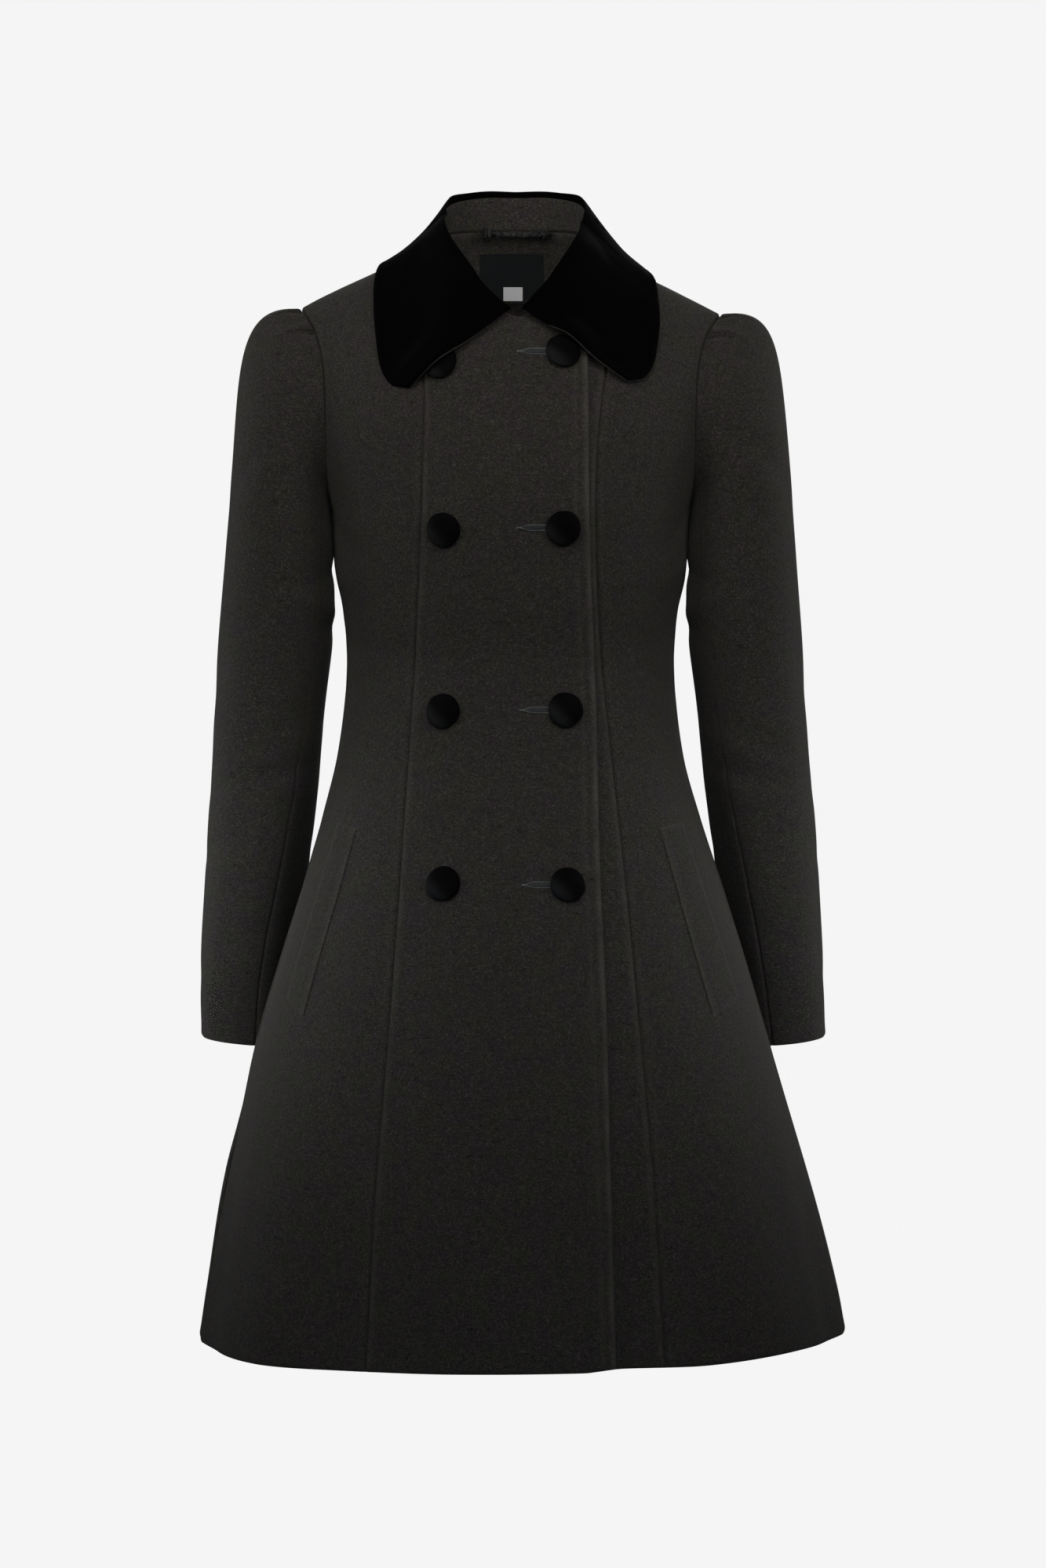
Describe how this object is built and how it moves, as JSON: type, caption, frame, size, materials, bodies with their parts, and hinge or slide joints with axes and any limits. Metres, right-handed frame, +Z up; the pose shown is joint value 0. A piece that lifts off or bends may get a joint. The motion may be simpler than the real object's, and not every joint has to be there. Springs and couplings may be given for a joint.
{
  "type": "skater coat",
  "caption": "Double-breasted wool skater coat with a large velvet collar, velvet-covered buttons, puffed sleeve heads and a flared skirt, hollow as worn.",
  "frame": {"origin": "middle of the neck opening, level with the inner ends of the shoulder seams, where the wearer's shoulders hold the coat", "axes": "+X to the wearer's left, -Y to the front, +Z up"},
  "size_m": [0.5256, 0.3901, 0.9419],
  "materials": {
    "wool": "matt melange wool with a soft nap",
    "velvet": "black velvet",
    "label": "plain woven label",
    "tab": "plain woven tab",
    "loop": "twisted cord"
  },
  "bodies": {
    "root": {"front_right_center": "wool", "front_left_center": "wool", "front_right_side": "wool", "front_left_side": "wool", "back_center": "wool", "back_right_side": "wool", "back_left_side": "wool", "sleeve_right_upper": "wool", "sleeve_right_under": "wool", "sleeve_left_upper": "wool", "sleeve_left_under": "wool", "top_collar": "velvet", "under_collar": "wool", "collar_stand": "wool", "button_left_1": "velvet", "button_right_1": "velvet", "button_left_2": "velvet", "button_right_2": "velvet", "button_left_3": "velvet", "button_right_3": "velvet", "button_left_4": "velvet", "button_right_4": "velvet", "pocket_welt_right": "wool", "pocket_welt_left": "wool", "back_neck_facing": "wool", "neck_label": "label", "size_tab": "tab", "hanger_loop": "loop"}
  },
  "joints": []
}
